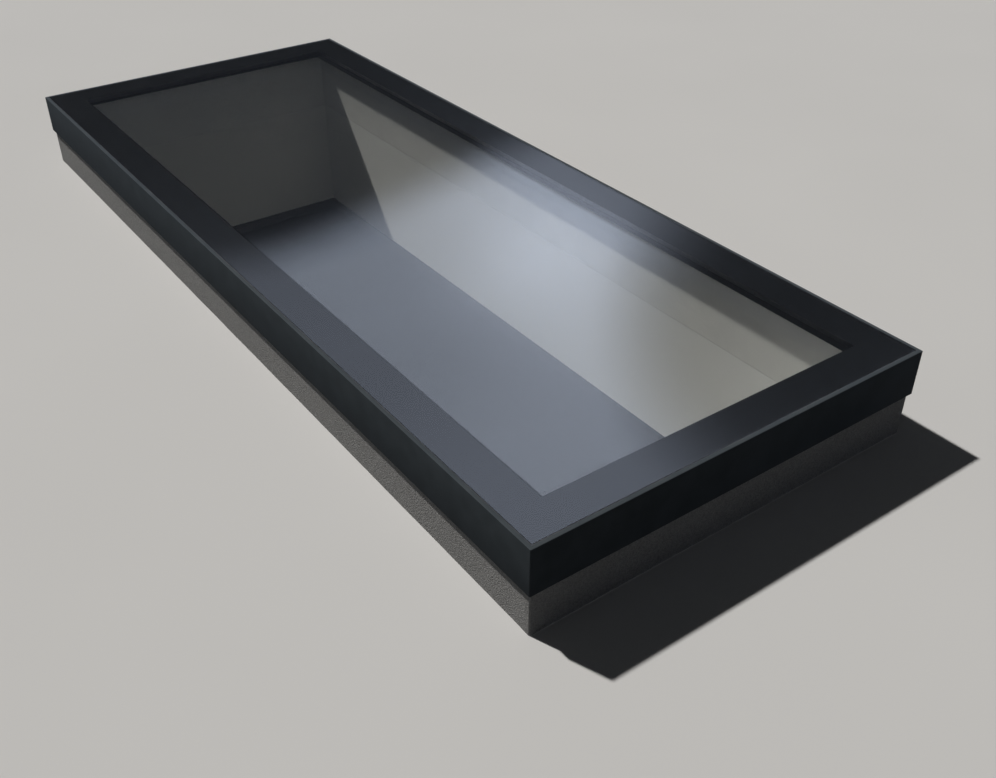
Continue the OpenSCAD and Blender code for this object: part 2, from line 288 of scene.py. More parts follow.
anthraciteLook = {
    "dark": (0.049, 0.058, 0.064), "light": (0.060, 0.070, 0.077),
    "rough": (0.50, 0.60), "specular": 0.08,
    "worn": (0.10, 0.11, 0.115), "wear": 0.4, "wearRadius": 0.0016,
    "mottleScale": 22.0, "peelScale": 900.0, "peelDepth": 0.00006,
    "dust": 0.06, "dustColour": (0.32, 0.31, 0.29)}
whiteCoatLook = {
    "dark": (0.80, 0.80, 0.785), "light": (0.86, 0.86, 0.845),
    "rough": (0.32, 0.42), "specular": 0.5,
    "worn": (0.68, 0.68, 0.67), "wear": 0.3, "wearRadius": 0.0012,
    "mottleScale": 18.0, "peelScale": 800.0, "peelDepth": 0.00006,
    "dust": 0.12, "dustColour": dustCover["paleDust"]}
whitePlasticLook = {
    "dark": (0.80, 0.80, 0.78), "light": (0.85, 0.85, 0.83),
    "rough": (0.3, 0.38), "specular": 0.5,
    "worn": (0.72, 0.72, 0.70), "wear": 0.25, "wearRadius": 0.001,
    "mottleScale": 30.0, "peelScale": 1500.0, "peelDepth": 0.00003,
    "dust": 0.12, "dustColour": dustCover["paleDust"]}
boardLook = {
    "dark": (0.78, 0.775, 0.75), "light": (0.84, 0.835, 0.81),
    "rough": (0.5, 0.62), "specular": 0.5,
    "worn": (0.62, 0.56, 0.46), "wear": 0.5, "wearRadius": 0.0015,
    "mottleScale": 12.0, "peelScale": 420.0, "peelDepth": 0.00014,
    "dust": 0.15, "dustColour": dustCover["paleDust"]}
polyamideLook = {
    "dark": (0.022, 0.022, 0.022), "light": (0.034, 0.034, 0.034),
    "rough": (0.48, 0.62), "specular": 0.5,
    "worn": (0.09, 0.09, 0.09), "wear": 0.35, "wearRadius": 0.0006,
    "mottleScale": 60.0, "peelScale": 1800.0, "peelDepth": 0.00005,
    "dust": 0.1, "dustColour": dustCover["darkDust"]}
spacerLook = {
    "dark": (0.026, 0.026, 0.028), "light": (0.036, 0.036, 0.039),
    "rough": (0.38, 0.5), "specular": 0.5,
    "worn": (0.08, 0.08, 0.08), "wear": 0.25, "wearRadius": 0.0005,
    "mottleScale": 80.0, "peelScale": 2200.0, "peelDepth": 0.00004,
    "dust": 0.04, "dustColour": dustCover["darkDust"]}
siliconeLook = {
    "dark": (0.024, 0.028, 0.031), "light": (0.034, 0.038, 0.042),
    "rough": (0.34, 0.5), "specular": 0.5,
    "worn": (0.05, 0.05, 0.05), "wear": 0.2, "wearRadius": 0.0005,
    "mottleScale": 45.0, "peelScale": 260.0, "peelDepth": 0.00012,
    "dust": 0.25, "dustColour": (0.26, 0.25, 0.24)}
rubberLook = {
    "dark": (0.018, 0.018, 0.018), "light": (0.028, 0.028, 0.028),
    "rough": (0.55, 0.7), "specular": 0.5,
    "worn": (0.06, 0.06, 0.06), "wear": 0.3, "wearRadius": 0.0006,
    "mottleScale": 70.0, "peelScale": 1400.0, "peelDepth": 0.00008,
    "dust": 0.15, "dustColour": dustCover["darkDust"]}


# Closed-cell foam: small open bubbles where it was cut, their hollows darkened with painted shade
def makeFoam(name, look):
    material, tree, shader = newMaterial(name, Specular_IOR_Level=look["specular"])
    bubbles = {"Vector": objectPlace(tree), "Scale": look["cellScale"]}
    cells = addNode(tree, "TexVoronoi", bubbles).outputs["Distance"]
    dusty = useGroup(tree, dustGroup)["Mask"]
    # the bubble hollows get a near-black colour: painted shade in the pits
    base = mixColours(tree, remap(tree, cells, look["cellRange"]), look["paintedPitShade"], look["wall"])
    dusted = mixColours(tree, product(tree, dusty, look["dust"]), base, dustCover["darkDust"])
    tree.links.new(dusted, shader["Base Color"])
    tree.links.new(remap(tree, cells, look["cellRange"], look["rough"]), shader["Roughness"])
    tree.links.new(bumpFrom(tree, cells, look["cellDepth"]), shader["Normal"])
    return material


foamLook = {"paintedPitShade": (0.018, 0.018, 0.019), "wall": (0.058, 0.058, 0.06), "dust": 0.2,
            "cellScale": 1100.0, "cellRange": (0.1, 0.6), "cellDepth": 0.0003,
            "rough": (0.95, 0.8), "specular": 0.2}


# Mineral felt: pale chippings over bitumen that shows between them
def makeFelt(name, look):
    material, tree, shader = newMaterial(name, Specular_IOR_Level=look["specular"])
    chips = useGroup(tree, chippingsGroup, Scale=look["chipScale"], Clumps=look["clumpScale"])
    fine = useGroup(tree, grainGroup, Scale=look["fineScale"], Detail=3.0)["Value"]
    stain = useGroup(tree, grainGroup, Scale=look["stainScale"], Detail=5.0)["Value"]
    worn = useGroup(tree, edgeWearGroup, Radius=look["wearRadius"], Breakup=look["wearBreakup"])
    pale = remap(tree, chips["Tone"], look["toneRange"])
    sunk = remap(tree, chips["Height"], look["gapRange"], (look["bitumenShare"], 0.0))
    flecked = remap(tree, fine, look["fleckRange"], (0.0, look["fleckShare"]))
    stained = remap(tree, stain, look["stainRange"], (0.0, look["stainShare"]))
    rubbed = product(tree, worn["Mask"], look["wear"])
    colour = mixColours(tree, pale, look["darkChip"], look["paleChip"])
    layers = ((sunk, "bitumen"), (flecked, "fleck"), (stained, "stain"), (rubbed, "edge"))
    for share, layer in layers:
        colour = mixColours(tree, share, colour, look[layer])
    relief = bumpFrom(tree, fine, look["fineDepth"], look["fineStrength"])
    relief = bumpFrom(tree, chips["Height"], look["chipDepth"], look["chipStrength"], relief)
    tree.links.new(colour, shader["Base Color"])
    gloss = remap(tree, chips["Tone"], look["glossRange"], look["rough"])
    tree.links.new(gloss, shader["Roughness"])
    tree.links.new(relief, shader["Normal"])
    return material


feltLook = {
    "chipScale": 520.0, "clumpScale": 260.0, "chipDepth": 0.0011, "chipStrength": 0.85,
    "fineScale": 1500.0, "fineDepth": 0.0003, "fineStrength": 0.6,
    "darkChip": (0.27, 0.266, 0.258), "paleChip": (0.42, 0.412, 0.40),
    "toneRange": (0.28, 0.72),
    "bitumen": (0.12, 0.118, 0.114), "bitumenShare": 0.35, "gapRange": (0.72, 0.98),
    "fleck": (0.50, 0.49, 0.475), "fleckShare": 0.35, "fleckRange": (0.35, 0.65),
    "stain": (0.38, 0.375, 0.36), "stainShare": 0.22, "stainRange": (0.35, 0.7),
    "stainScale": 5.0,
    "edge": (0.72, 0.71, 0.69), "wear": 0.35, "wearRadius": 0.003, "wearBreakup": 120.0,
    "glossRange": (0.2, 0.8), "rough": (0.96, 0.8), "specular": 0.3}


# Planed softwood, its grain along x or along y, with end grain where a board is cut across
def makePine(name, look, boardAxis):
    material, tree, shader = newMaterial(name, Specular_IOR_Level=look["specular"])
    along = [look["drawnOut"] if axis == boardAxis else 1.0 for axis in "XYZ"]
    wood = useGroup(tree, pineGroup, Along=along, Rings=look["rings"])
    ringTone = remap(tree, wood["Rings"], look["ringRange"])
    base = mixColours(tree, ringTone, look["early"], look["late"])
    porous = remap(tree, wood["Pores"], look["poreRange"], (0.0, look["poreShare"]))
    board = mixColours(tree, porous, base, look["pore"])
    wave = {"Vector": objectPlace(tree), "Scale": look["endScale"], "Distortion": look["endSway"]}
    ends = addNode(tree, "TexWave", wave, wave_type="RINGS", rings_direction=boardAxis)
    endTone = remap(tree, ends.outputs["Fac"], look["endRange"])
    endGrain = mixColours(tree, endTone, look["endEarly"], look["endLate"])
    normal = addNode(tree, "NewGeometry").outputs["Normal"]
    facing = addNode(tree, "SeparateXYZ", {0: normal}).outputs[boardAxis]
    isEnd = maths(tree, "GREATER_THAN", maths(tree, "ABSOLUTE", facing), look["endFacing"])
    gloss = remap(tree, wood["Pores"], look["glossRange"], look["rough"])
    relief = bumpFrom(tree, wood["Pores"], look["poreDepth"], look["poreStrength"])
    tree.links.new(mixColours(tree, isEnd, board, endGrain), shader["Base Color"])
    tree.links.new(gloss, shader["Roughness"])
    tree.links.new(relief, shader["Normal"])
    return material


pineLook = {
    "early": (0.60, 0.42, 0.23), "late": (0.38, 0.21, 0.09),
    "rings": 62.0, "ringRange": (0.35, 1.0), "drawnOut": 0.04, "specular": 0.35,
    "pore": (0.30, 0.17, 0.08), "poreShare": 0.4, "poreRange": (0.45, 0.75),
    "poreDepth": 0.00025, "poreStrength": 0.7, "glossRange": (0.3, 0.8), "rough": (0.5, 0.72),
    "endEarly": (0.50, 0.33, 0.17), "endLate": (0.27, 0.14, 0.06), "endScale": 55.0,
    "endSway": 3.0, "endRange": (0.3, 1.0), "endFacing": 0.7}


# Bare metal: zinc with its crystal patches, or mill aluminium with drawn lines
def makeMetal(name, look):
    material, tree, shader = newMaterial(name, Metallic=1.0)
    voronoi = {"Vector": objectPlace(tree), "Scale": look["crystalScale"]}
    crystals = addNode(tree, "TexVoronoi", voronoi).outputs["Color"]
    patch = addNode(tree, "SeparateColor", {0: crystals}).outputs[0]
    lines = useGroup(tree, grainGroup, Scale=look["lineScale"], Detail=2.0,
                     Stretch=look["lineStretch"])
    worn = useGroup(tree, edgeWearGroup, Radius=look["wearRadius"])["Mask"]
    base = mixColours(tree, patch, look["dark"], look["light"])
    rubbed = mixColours(tree, product(tree, worn, look["wear"]), base, look["worn"])
    tree.links.new(rubbed, shader["Base Color"])
    tree.links.new(remap(tree, lines["Value"], noiseRange, look["rough"]), shader["Roughness"])
    tree.links.new(bumpFrom(tree, lines["Value"], look["lineDepth"]), shader["Normal"])
    return material


zincLook = {
    "dark": (0.55, 0.55, 0.53), "light": (0.68, 0.68, 0.66), "rough": (0.28, 0.42),
    "worn": (0.80, 0.80, 0.79), "wear": 0.5, "wearRadius": 0.0006, "crystalScale": 500.0,
    "lineScale": 1500.0, "lineStretch": (1.0, 1.0, 1.0), "lineDepth": 0.00004}
millLook = {
    "dark": (0.70, 0.71, 0.72), "light": (0.77, 0.78, 0.79), "rough": (0.3, 0.45),
    "worn": (0.88, 0.88, 0.88), "wear": 0.5, "wearRadius": 0.0006, "crystalScale": 90.0,
    "lineScale": 2400.0, "lineStretch": (1.0, 0.05, 1.0), "lineDepth": 0.00003}


# Float glass with a light body tint. Lamps and bounced light pass straight through it.
def makeGlass(name, look):
    material, tree, shader = newMaterial(
        name, Transmission_Weight=1.0, IOR=look["ior"], Roughness=0.0,
        Base_Color=(*look["tint"], 1), Specular_IOR_Level=0.5)
    ripple = useGroup(tree, grainGroup, Scale=look["rippleScale"], Detail=1.0)["Value"]
    tree.links.new(bumpFrom(tree, ripple, look["rippleDepth"]), shader["Normal"])
    ray = addNode(tree, "LightPath").outputs
    straight = greatest(tree, ray["Is Shadow Ray"], ray["Is Diffuse Ray"])
    clear = addNode(tree, "BsdfTransparent", {"Color": (*look["letThrough"], 1)}).outputs[0]
    blendShaders(tree, straight, tree.nodes["Principled BSDF"].outputs[0], clear)
    return material


outerGlassLook = {"tint": (0.96, 0.965, 0.95), "letThrough": (0.99, 0.99, 0.985), "ior": 1.5,
                  "rippleScale": 3.0, "rippleDepth": 0.0001}
innerGlassLook = {"tint": (0.96, 0.965, 0.95), "letThrough": (0.99, 0.99, 0.985), "ior": 1.54,
                  "rippleScale": 3.4, "rippleDepth": 0.0001}


# Black ceramic enamel. Fired under the outer pane it is glossy, and in the cavity it is matt.
def makeEnamel(name, look, rough, specular):
    material, tree, shader = newMaterial(name, Specular_IOR_Level=specular)
    specks = useGroup(tree, grainGroup, Scale=look["speckScale"], Detail=2.0)["Value"]
    cloud = useGroup(tree, grainGroup, Scale=look["cloudScale"], Detail=3.0)["Value"]
    base = mixColours(tree, remap(tree, specks, noiseRange), look["dark"], look["light"])
    clouded = remap(tree, cloud, noiseRange, (0.0, look["cloudShare"]))
    tree.links.new(mixColours(tree, clouded, base, look["cloud"]), shader["Base Color"])
    roughEnd = rough * look["roughSpread"]
    tree.links.new(remap(tree, specks, noiseRange, (rough, roughEnd)), shader["Roughness"])
    tree.links.new(bumpFrom(tree, cloud, look["cloudDepth"]), shader["Normal"])
    return material


enamelLook = {
    "dark": (0.004, 0.0045, 0.005), "light": (0.008, 0.0085, 0.009), "speckScale": 1600.0,
    "cloud": (0.010, 0.011, 0.012), "cloudShare": 0.3, "cloudScale": 6.0, "cloudDepth": 0.00002,
    "roughSpread": 1.2, "glossy": (0.12, 0.8), "matt": (0.7, 0.0)}  # roughness, specular level

finishes = {
    "frame_coating": makeCoating("anthracite powder coat", anthraciteLook),
    "white_coating": makeCoating("white powder coat", whiteCoatLook),
    "white_plastic": makeCoating("white plastic", whitePlasticLook),
    "lining": makeCoating("painted board", boardLook),
    "polyamide": makeCoating("black polyamide", polyamideLook),
    "spacer": makeCoating("black spacer", spacerLook),
    "silicone": makeCoating("black silicone", siliconeLook),
    "gasket_rubber": makeCoating("black rubber", rubberLook),
    "foam": makeFoam("grey foam", foamLook),
    "felt": makeFelt("mineral felt", feltLook),
    "zinc_steel": makeMetal("bright zinc", zincLook),
    "mill_aluminium": makeMetal("mill aluminium", millLook)}
pineAlongY = makePine("pine along the length", pineLook, "Y")
pineAlongX = makePine("pine across the width", pineLook, "X")
outerGlass = makeGlass("outer glass", outerGlassLook)
innerGlass = makeGlass("inner glass", innerGlassLook)
glossyEnamel = makeEnamel("black enamel under glass", enamelLook, *enamelLook["glossy"])
mattEnamel = makeEnamel("matt black enamel", enamelLook, *enamelLook["matt"])
print("materials made")


# Places, read from the frame. A section is drawn as points (s, z), with s measured inwards
# from the frame's outer face.
halfWidth = cadHigh.x
halfLength = cadHigh.y
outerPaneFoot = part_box("outer_pane")[0].z
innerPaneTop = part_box("inner_pane")[1].z
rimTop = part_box("frame_profile_left")[1].z
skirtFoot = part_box("frame_profile_left")[0].z
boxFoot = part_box("kerb_seal_outer")[1].z
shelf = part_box("bonding_tape")[0].z
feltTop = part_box("felt_left")[1].z
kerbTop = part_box("kerb_rail_left")[1].z
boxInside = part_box("thermal_break_left")[0].x + halfWidth
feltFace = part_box("felt_left")[0].x + halfWidth
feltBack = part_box("felt_left")[1].x + halfWidth
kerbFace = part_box("kerb_rail_left")[0].x + halfWidth
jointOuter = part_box("weather_seal")[0].x + halfWidth
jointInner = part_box("outer_pane")[0].x + halfWidth
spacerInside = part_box("spacer_bar_left")[1].x + halfWidth
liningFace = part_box("lining_board_left")[1].x + halfWidth


def halfRun(side):
    return halfLength if side in ("left", "right") else halfWidth


def turnTo(side):
    turns = {"left": (0, -halfWidth, 0), "right": (180, halfWidth, 0),
             "front": (90, 0, -halfLength), "back": (-90, 0, halfLength)}
    angle, x, y = turns[side]
    return Matrix.Translation((x, y, 0)) @ Matrix.Rotation(math.radians(angle), 4, "Z")


# Rounds the corners of an outline. Each corner is (s, z, radius).
def roundedOutline(corners, steps=3):
    nearlyStraight = math.radians(88)
    outline = []
    for i, (s, z, radius) in enumerate(corners):
        corner = Vector((s, z))
        toLast = (Vector(corners[i - 1][:2]) - corner).normalized()
        toNext = (Vector(corners[(i + 1) % len(corners)][:2]) - corner).normalized()
        half = toLast.angle(toNext) / 2
        if radius == 0 or half > nearlyStraight:
            outline.append(corner)
            continue
        middle = corner + (toLast + toNext).normalized() * (radius / math.sin(half))
        start = corner + toLast * (radius / math.tan(half)) - middle
        swing = math.pi - 2 * half
        sign = 1 if toLast.cross(toNext) < 0 else -1
        for k in range(steps + 1):
            turned = start.copy()
            turned.rotate(Matrix.Rotation(sign * swing * k / steps, 2))
            outline.append(middle + turned)
    return outline


# A point of the section at one end of a side: round the frame's upright corner, or on the mitre
def endPoint(s, z, run, face, radius, turn):
    rho = radius - (s - face)
    if rho <= 0:
        return Vector((s, run - s, z))
    along = run - face - radius + rho * math.sin(turn)
    return Vector((face + radius - rho * math.cos(turn), along, z))


# One side of a mitred ring. The first outline is the outer one, and the others are its hollows.
def sideMesh(side, outlines, face, radius, columns=1, cornerSteps=4, hollow=None):
    run = halfRun(side)
    turns = [math.radians(45) * k / cornerSteps for k in range(cornerSteps, -1, -1)]
    stations = [(-1, turn) for turn in turns]
    stations += [(2 * k / columns - 1, 0.0) for k in range(1, columns)]
    stations += [(1, turn) for turn in reversed(turns)]
    vertices, faces, offset = [], [], 0
    caps = [], []
    for outline in outlines:
        count = len(outline)
        for share, turn in stations:
            for s, z in outline:
                point = endPoint(s, z, run, face, radius, turn)
                point.y *= share
                if hollow is not None:
                    point.x += hollow(s, point.y, z, run)
                vertices.append(point)
        for ring in range(len(stations) - 1):
            for k in range(count):
                a = offset + ring * count + k
                b = offset + ring * count + (k + 1) % count
                faces.append((a, b, b + count, a + count))
        caps[0].extend(range(offset, offset + count))
        offset += count * len(stations)
        caps[1].extend(range(offset - count, offset))
    flat = [[Vector((s, z, 0)) for s, z in outline] for outline in outlines]
    for cap in caps:
        faces += [tuple(cap[k] for k in corner) for corner in tessellate_polygon(flat)]
    turned = turnTo(side)
    return [turned @ v for v in vertices], faces


# A whole rectangular ring in one piece
def ringMesh(outline):
    vertices, faces = [], []
    count = len(outline)
    for x, y in ((-1, -1), (1, -1), (1, 1), (-1, 1)):
        vertices += [Vector((x * (halfWidth - s), y * (halfLength - s), z)) for s, z in outline]
    for corner in range(4):
        a = corner * count
        b = (corner + 1) % 4 * count
        for k in range(count):
            following = (k + 1) % count
            faces.append((a + k, a + following, b + following, b + k))
    return vertices, faces


def makePiece(name, shape, material, replaced=(), smooth=35.0):
    joinDistance = 1e-7
    mesh = bpy.data.meshes.new(name)
    mesh.from_pydata(shape[0], [], shape[1])
    work = bmesh.new()
    work.from_mesh(mesh)
    bmesh.ops.remove_doubles(work, verts=work.verts, dist=joinDistance)
    bmesh.ops.dissolve_degenerate(work, edges=work.edges, dist=joinDistance)
    bmesh.ops.recalc_face_normals(work, faces=work.faces)
    work.to_mesh(mesh)
    work.free()
    mesh.shade_smooth()
    mesh.set_sharp_from_angle(angle=math.radians(smooth))
    piece = bpy.data.objects.new(name, mesh)
    scene.collection.objects.link(piece)
    mesh.materials.append(material)
    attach(piece, "root")
    if replaced:
        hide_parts(*replaced)
    return piece


coatedFrame = {
    "wall": 0.003, "web": 0.0025, "webPlace": 0.0209, "dripReach": 0.0055, "dripHeight": 0.002,
    "rimRadius": 0.001, "edgeRadius": 0.0005, "cornerRadius": 0.002,
    "grooveMouth": 0.0012, "grooveRoot": 0.0016, "grooveDepth": 0.00195, "grooveInset": 0.004}


# The outer profile: skirt with its drip return, hollow box in two chambers, rim beside the glass
def frameOutlines():
    values = coatedFrame
    edge, wall = values["edgeRadius"], values["wall"]
    mouth, root = values["grooveMouth"], values["grooveRoot"]
    dripReach, dripTop = values["dripReach"], skirtFoot + values["dripHeight"]
    boxFace = boxInside + values["grooveDepth"]
    grooves = []
    for z in (boxFoot + values["grooveInset"], shelf - values["grooveInset"]):
        grooves += [(boxFace, z - mouth, 0), (boxInside, z - root, 0),
                    (boxInside, z + root, 0), (boxFace, z + mouth, 0)]
    outer = [(0, skirtFoot, edge), (dripReach, skirtFoot, edge), (dripReach, dripTop, edge),
             (wall, dripTop, edge), (wall, boxFoot, edge), (boxFace, boxFoot, edge), *grooves,
             (boxFace, shelf, edge), (jointOuter, shelf, 0), (jointOuter, rimTop, edge),
             (0, rimTop, values["rimRadius"])]
    low, high = boxFoot + wall, shelf - wall
    outlines = [roundedOutline(outer)]
    for a, b in ((wall, values["webPlace"]), (values["webPlace"] + values["web"], boxFace - wall)):
        chamber = [(a, low, edge), (b, low, edge), (b, high, edge), (a, high, edge)]
        outlines.append(roundedOutline(chamber))
    return outlines


for side in sides:
    shape = sideMesh(side, frameOutlines(), 0.0, coatedFrame["cornerRadius"])
    node = f"frame_profile_{side}"
    makePiece(f"coated_frame_{side}", shape, finishes["frame_coating"], (node,))
print("coated frame made")


feltSheet = {"cornerRadius": 0.004, "topRadius": 0.004, "foldRadius": 0.0005, "roundSteps": 4,
             "columnEvery": 0.012, "rowEvery": 0.008, "skin": 0.001,
             "wave": 0.0011, "waveSize": 0.11, "ripple": 0.0004, "rippleSize": 0.03,
             "calm": 0.035, "calmStart": 0.3, "sideStep": 7.0, "smooth": 40.0}


# Splits long straight stretches of an outline so that the sheet can wave
def dividedOutline(outline, longest):
    divided = []
    for i, point in enumerate(outline):
        following = outline[(i + 1) % len(outline)]
        parts = max(1, round((following - point).length / longest))
        divided += [point.lerp(following, k / parts) for k in range(parts)]
    return divided


# The sheet's outer skin lies a little unevenly on the timber, and is pressed flat at its corners.
# Each side takes its waves from another place in the noise.
def feltHollow(side):
    values = feltSheet

    def depth(s, along, z, run):
        if s > feltFace + values["skin"] or z > feltTop - values["topRadius"]:
            return 0.0
        fromCorner = (run - abs(along) - feltFace) / values["calm"]
        calm = min(1.0, max(0.0, fromCorner - values["calmStart"]))
        place = Vector((along, z, sides.index(side) * values["sideStep"]))
        slow = noise.noise(place / values["waveSize"]) * 0.5 + 0.5
        quick = noise.noise(place / values["rippleSize"]) * 0.5 + 0.5
        return calm * (slow * values["wave"] + quick * values["ripple"])
    return depth


def feltOutline():
    corners = [(feltFace, 0, 0), (feltFace, feltTop, feltSheet["topRadius"]),
               (feltBack, feltTop, feltSheet["foldRadius"]), (feltBack, kerbTop, 0),
               (kerbFace, kerbTop, 0), (kerbFace, 0, 0)]
    outline = roundedOutline(corners, feltSheet["roundSteps"])
    return dividedOutline(outline, feltSheet["rowEvery"])


for side in sides:
    columns = round(2 * halfRun(side) / feltSheet["columnEvery"])
    shape = sideMesh(side, [feltOutline()], feltFace, feltSheet["cornerRadius"], columns,
                     feltSheet["roundSteps"], feltHollow(side))
    makePiece(f"kerb_felt_{side}", shape, finishes["felt"], (f"felt_{side}",),
              feltSheet["smooth"])
print("felt made")


sealantJoint = {"sag": 0.0003, "below": 0.0001, "steps": 6}


def jointOutline():
    top = rimTop - sealantJoint["below"]
    width = jointInner - jointOuter
    skin = []
    for k in range(sealantJoint["steps"] + 1):
        share = k / sealantJoint["steps"]
        sag = sealantJoint["sag"] * math.sin(math.pi * share)
        skin.append((jointInner - width * share, top - sag))
    return [(jointOuter, shelf), (jointInner, shelf)] + skin


makePiece("sealant_joint", ringMesh(jointOutline()), finishes["silicone"],
          ("weather_seal",))


foamSeal = {"width": 0.012, "pinch": 0.0009, "steps": 6}


# The strip's sides bulge between its pinched edges
def foamOutline(node):
    low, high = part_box(node)
    start, height = low.x + halfWidth, high.z - low.z
    inner, outer = [], []
    for k in range(foamSeal["steps"] + 1):
        share = k / foamSeal["steps"]
        pinch = foamSeal["pinch"] * (2 * share - 1) ** 2
        inner.append((start + foamSeal["width"] - pinch, low.z + height * share))
        outer.append((start + pinch, high.z - height * share))
    return inner + outer


for node, name in (("kerb_seal_outer", "outer_foam_seal"), ("kerb_seal_inner", "inner_foam_seal")):
    makePiece(name, ringMesh(foamOutline(node)), finishes["foam"], (node,))


enamelBorder = {"edge": 0.0008, "film": 0.00012, "inset": 0.00006,
                "pastSpacer": 0.007, "innerPastSpacer": 0.0214}


# A thin printed ring between two distances from the frame's outer face
def enamelRing(start, end, paneFace):
    low = paneFace + enamelBorder["inset"]
    high = low + enamelBorder["film"]
    return ringMesh([(start, low), (end, low), (end, high), (start, high)])


outerBorder = enamelRing(jointInner + enamelBorder["edge"],
                         spacerInside + enamelBorder["pastSpacer"], outerPaneFoot)
innerBorder = enamelRing(spacerInside + enamelBorder["edge"],
                         spacerInside + enamelBorder["innerPastSpacer"], innerPaneTop)
makePiece("enamelled_border", outerBorder, glossyEnamel)
makePiece("inner_enamelled_border", innerBorder, mattEnamel)
print("seals and enamelled borders made")


# Nodes that keep their shape, and how far their edges are rounded, in millimetres
keptPieces = {
    "outer_pane": 0.6, "inner_pane": 0.6, "inner_gasket": 0.3, "inner_cleats": 0.2,
    "bonding_tape": 0.0, "structural_seal": 0.0, "inner_glazing_tape": 0.0, "edge_seal": 0.0,
    "spacer_corner_keys": 0.0, "kerb_corner_screws": 0.0, "frame_fixing_screws": 0.0}
keptOnEachSide = {"inner_profile": 0.25, "cover_trim": 0.3, "lining_board": 0.5,
                  "thermal_break": 0.0, "spacer_bar": 0.2, "kerb_rail": 0.0}
cleatRounding = 0.3
sharpFrom = 50.0  # edges that bend by more degrees than this are rounded
for side in sides:
    keptPieces.update({f"{part}_{side}": rounding for part, rounding in keptOnEachSide.items()})
for end in ("front", "back"):
    keptPieces.update({f"corner_cleat_{end}_{hand}": cleatRounding for hand in ("left", "right")})

nodeSlots = {part["node"]: part["material_slot"] for part in frame["record"]["subparts"]}
ownFinishes = {"outer_pane": outerGlass, "inner_pane": innerGlass,
               "kerb_rail_left": pineAlongY, "kerb_rail_right": pineAlongY,
               "kerb_rail_front": pineAlongX, "kerb_rail_back": pineAlongX}

for node, rounding in keptPieces.items():
    piece = frame["nodes"][node]
    piece.data.materials.clear()
    piece.data.materials.append(ownFinishes.get(node) or finishes[nodeSlots[node]])
    weld = piece.modifiers.new("joined corners", "WELD")
    weld.merge_threshold = 1e-6
    if rounding > 0:
        bevel = piece.modifiers.new("rounded edges", "BEVEL")
        bevel.width = rounding * millimetre
        bevel.segments = 2
        bevel.limit_method = "ANGLE"
        bevel.angle_limit = math.radians(sharpFrom)
print("kept pieces finished")


floorValues = {"size": 60.0, "drop": 0.0002, "colour": (0.65, 0.641, 0.628),
               "cloudScale": 1.2, "cloudShare": 0.03, "bounce": 0.27, "mirrored": 0.15,
               "footReach": 0.0006}
floorHeight = cadLow.z - floorValues["drop"]


def rectangle(x, y, z):
    return [(-x, -y, z), (x, -y, z), (x, y, z), (-x, y, z)]


def addStage(name, corners, faces):
    mesh = bpy.data.meshes.new(name)
    mesh.from_pydata(corners, [], faces)
    staged = bpy.data.objects.new(name, mesh)
    scene.collection.objects.link(staged)
    return mesh


# The floor has the opening that the part stands over. It throws back less light than it shows,
# and the foot of the part, just above it, is lit from below.
def makeFloor():
    half = floorValues["size"] / 2
    corners = rectangle(half, half, floorHeight)
    corners += rectangle(halfWidth - liningFace, halfLength - liningFace, floorHeight)
    mesh = addStage("floor", corners, [(k, (k + 1) % 4, (k + 1) % 4 + 4, k + 4) for k in range(4)])
    material, tree, shader = newMaterial("pale floor", Roughness=0.8, Specular_IOR_Level=0.1)
    cloud = useGroup(tree, grainGroup, Scale=floorValues["cloudScale"], Detail=2.0)["Value"]
    darker = tuple(c * (1 - floorValues["cloudShare"]) for c in floorValues["colour"])
    paler = tuple(c * (1 + floorValues["cloudShare"]) for c in floorValues["colour"])
    ray = addNode(tree, "LightPath").outputs
    bounced = product(tree, ray["Is Diffuse Ray"], floorValues["bounce"])
    share = greatest(tree, ray["Is Camera Ray"], bounced, floorValues["mirrored"])
    scaled = {0: mixColours(tree, cloud, darker, paler), "Scale": share}
    tree.links.new(addNode(tree, "VectorMath", scaled, operation="SCALE").outputs[0],
                   shader["Base Color"])
    fromBelow = addNode(tree, "NewGeometry").outputs["Backfacing"]
    close = maths(tree, "LESS_THAN", ray["Ray Length"], floorValues["footReach"])
    seenThrough = greatest(tree, fromBelow, product(tree, ray["Is Diffuse Ray"], close))
    clear = addNode(tree, "BsdfTransparent").outputs[0]
    blendShaders(tree, seenThrough, tree.nodes["Principled BSDF"].outputs[0], clear)
    mesh.materials.append(material)


# The well's bottom colour is painted shade: a near-black sheet where the space below is only dark.
lightWell = {"depth": 0.36, "wall": (0.93, 0.93, 0.92), "paintedRoomShade": (0.022, 0.022, 0.023),
             "cloudScale": 6.0, "cloudShare": 0.05}


# Under the opening, pale walls go down to a near-black floor, painted shade that stands for the
# unlit space below. They show only through the glass.
def makeLightWell():
    x, y = halfWidth - liningFace, halfLength - liningFace
    corners = rectangle(x, y, floorHeight) + rectangle(x, y, floorHeight - lightWell["depth"])
    walls = [(k, k + 4, (k + 1) % 4 + 4, (k + 1) % 4) for k in range(4)]
    mesh = addStage("light_well", corners, walls + [(4, 5, 6, 7)])
    for name, tone in (("well wall", lightWell["wall"]), ("painted shade below the well", lightWell["paintedRoomShade"])):
        material, tree, shader = newMaterial(name, Roughness=0.9, Specular_IOR_Level=0.1)
        cloud = useGroup(tree, grainGroup, Scale=lightWell["cloudScale"], Detail=3.0)["Value"]
        darker = tuple(c * (1 - lightWell["cloudShare"]) for c in tone)
        tree.links.new(mixColours(tree, cloud, darker, tone), shader["Base Color"])
        ray = addNode(tree, "LightPath").outputs
        reached = greatest(tree, ray["Is Transmission Ray"], ray["Is Diffuse Ray"],
                           ray["Is Shadow Ray"])
        clear = addNode(tree, "BsdfTransparent").outputs[0]
        blendShaders(tree, reached, clear, tree.nodes["Principled BSDF"].outputs[0])
        mesh.materials.append(material)
    mesh.polygons[len(walls)].material_index = 1


sunValues = {"strength": 3.0, "height": 52.0, "turn": 21.0, "softness": 2.0,
             "colour": (1.0, 0.985, 0.96)}


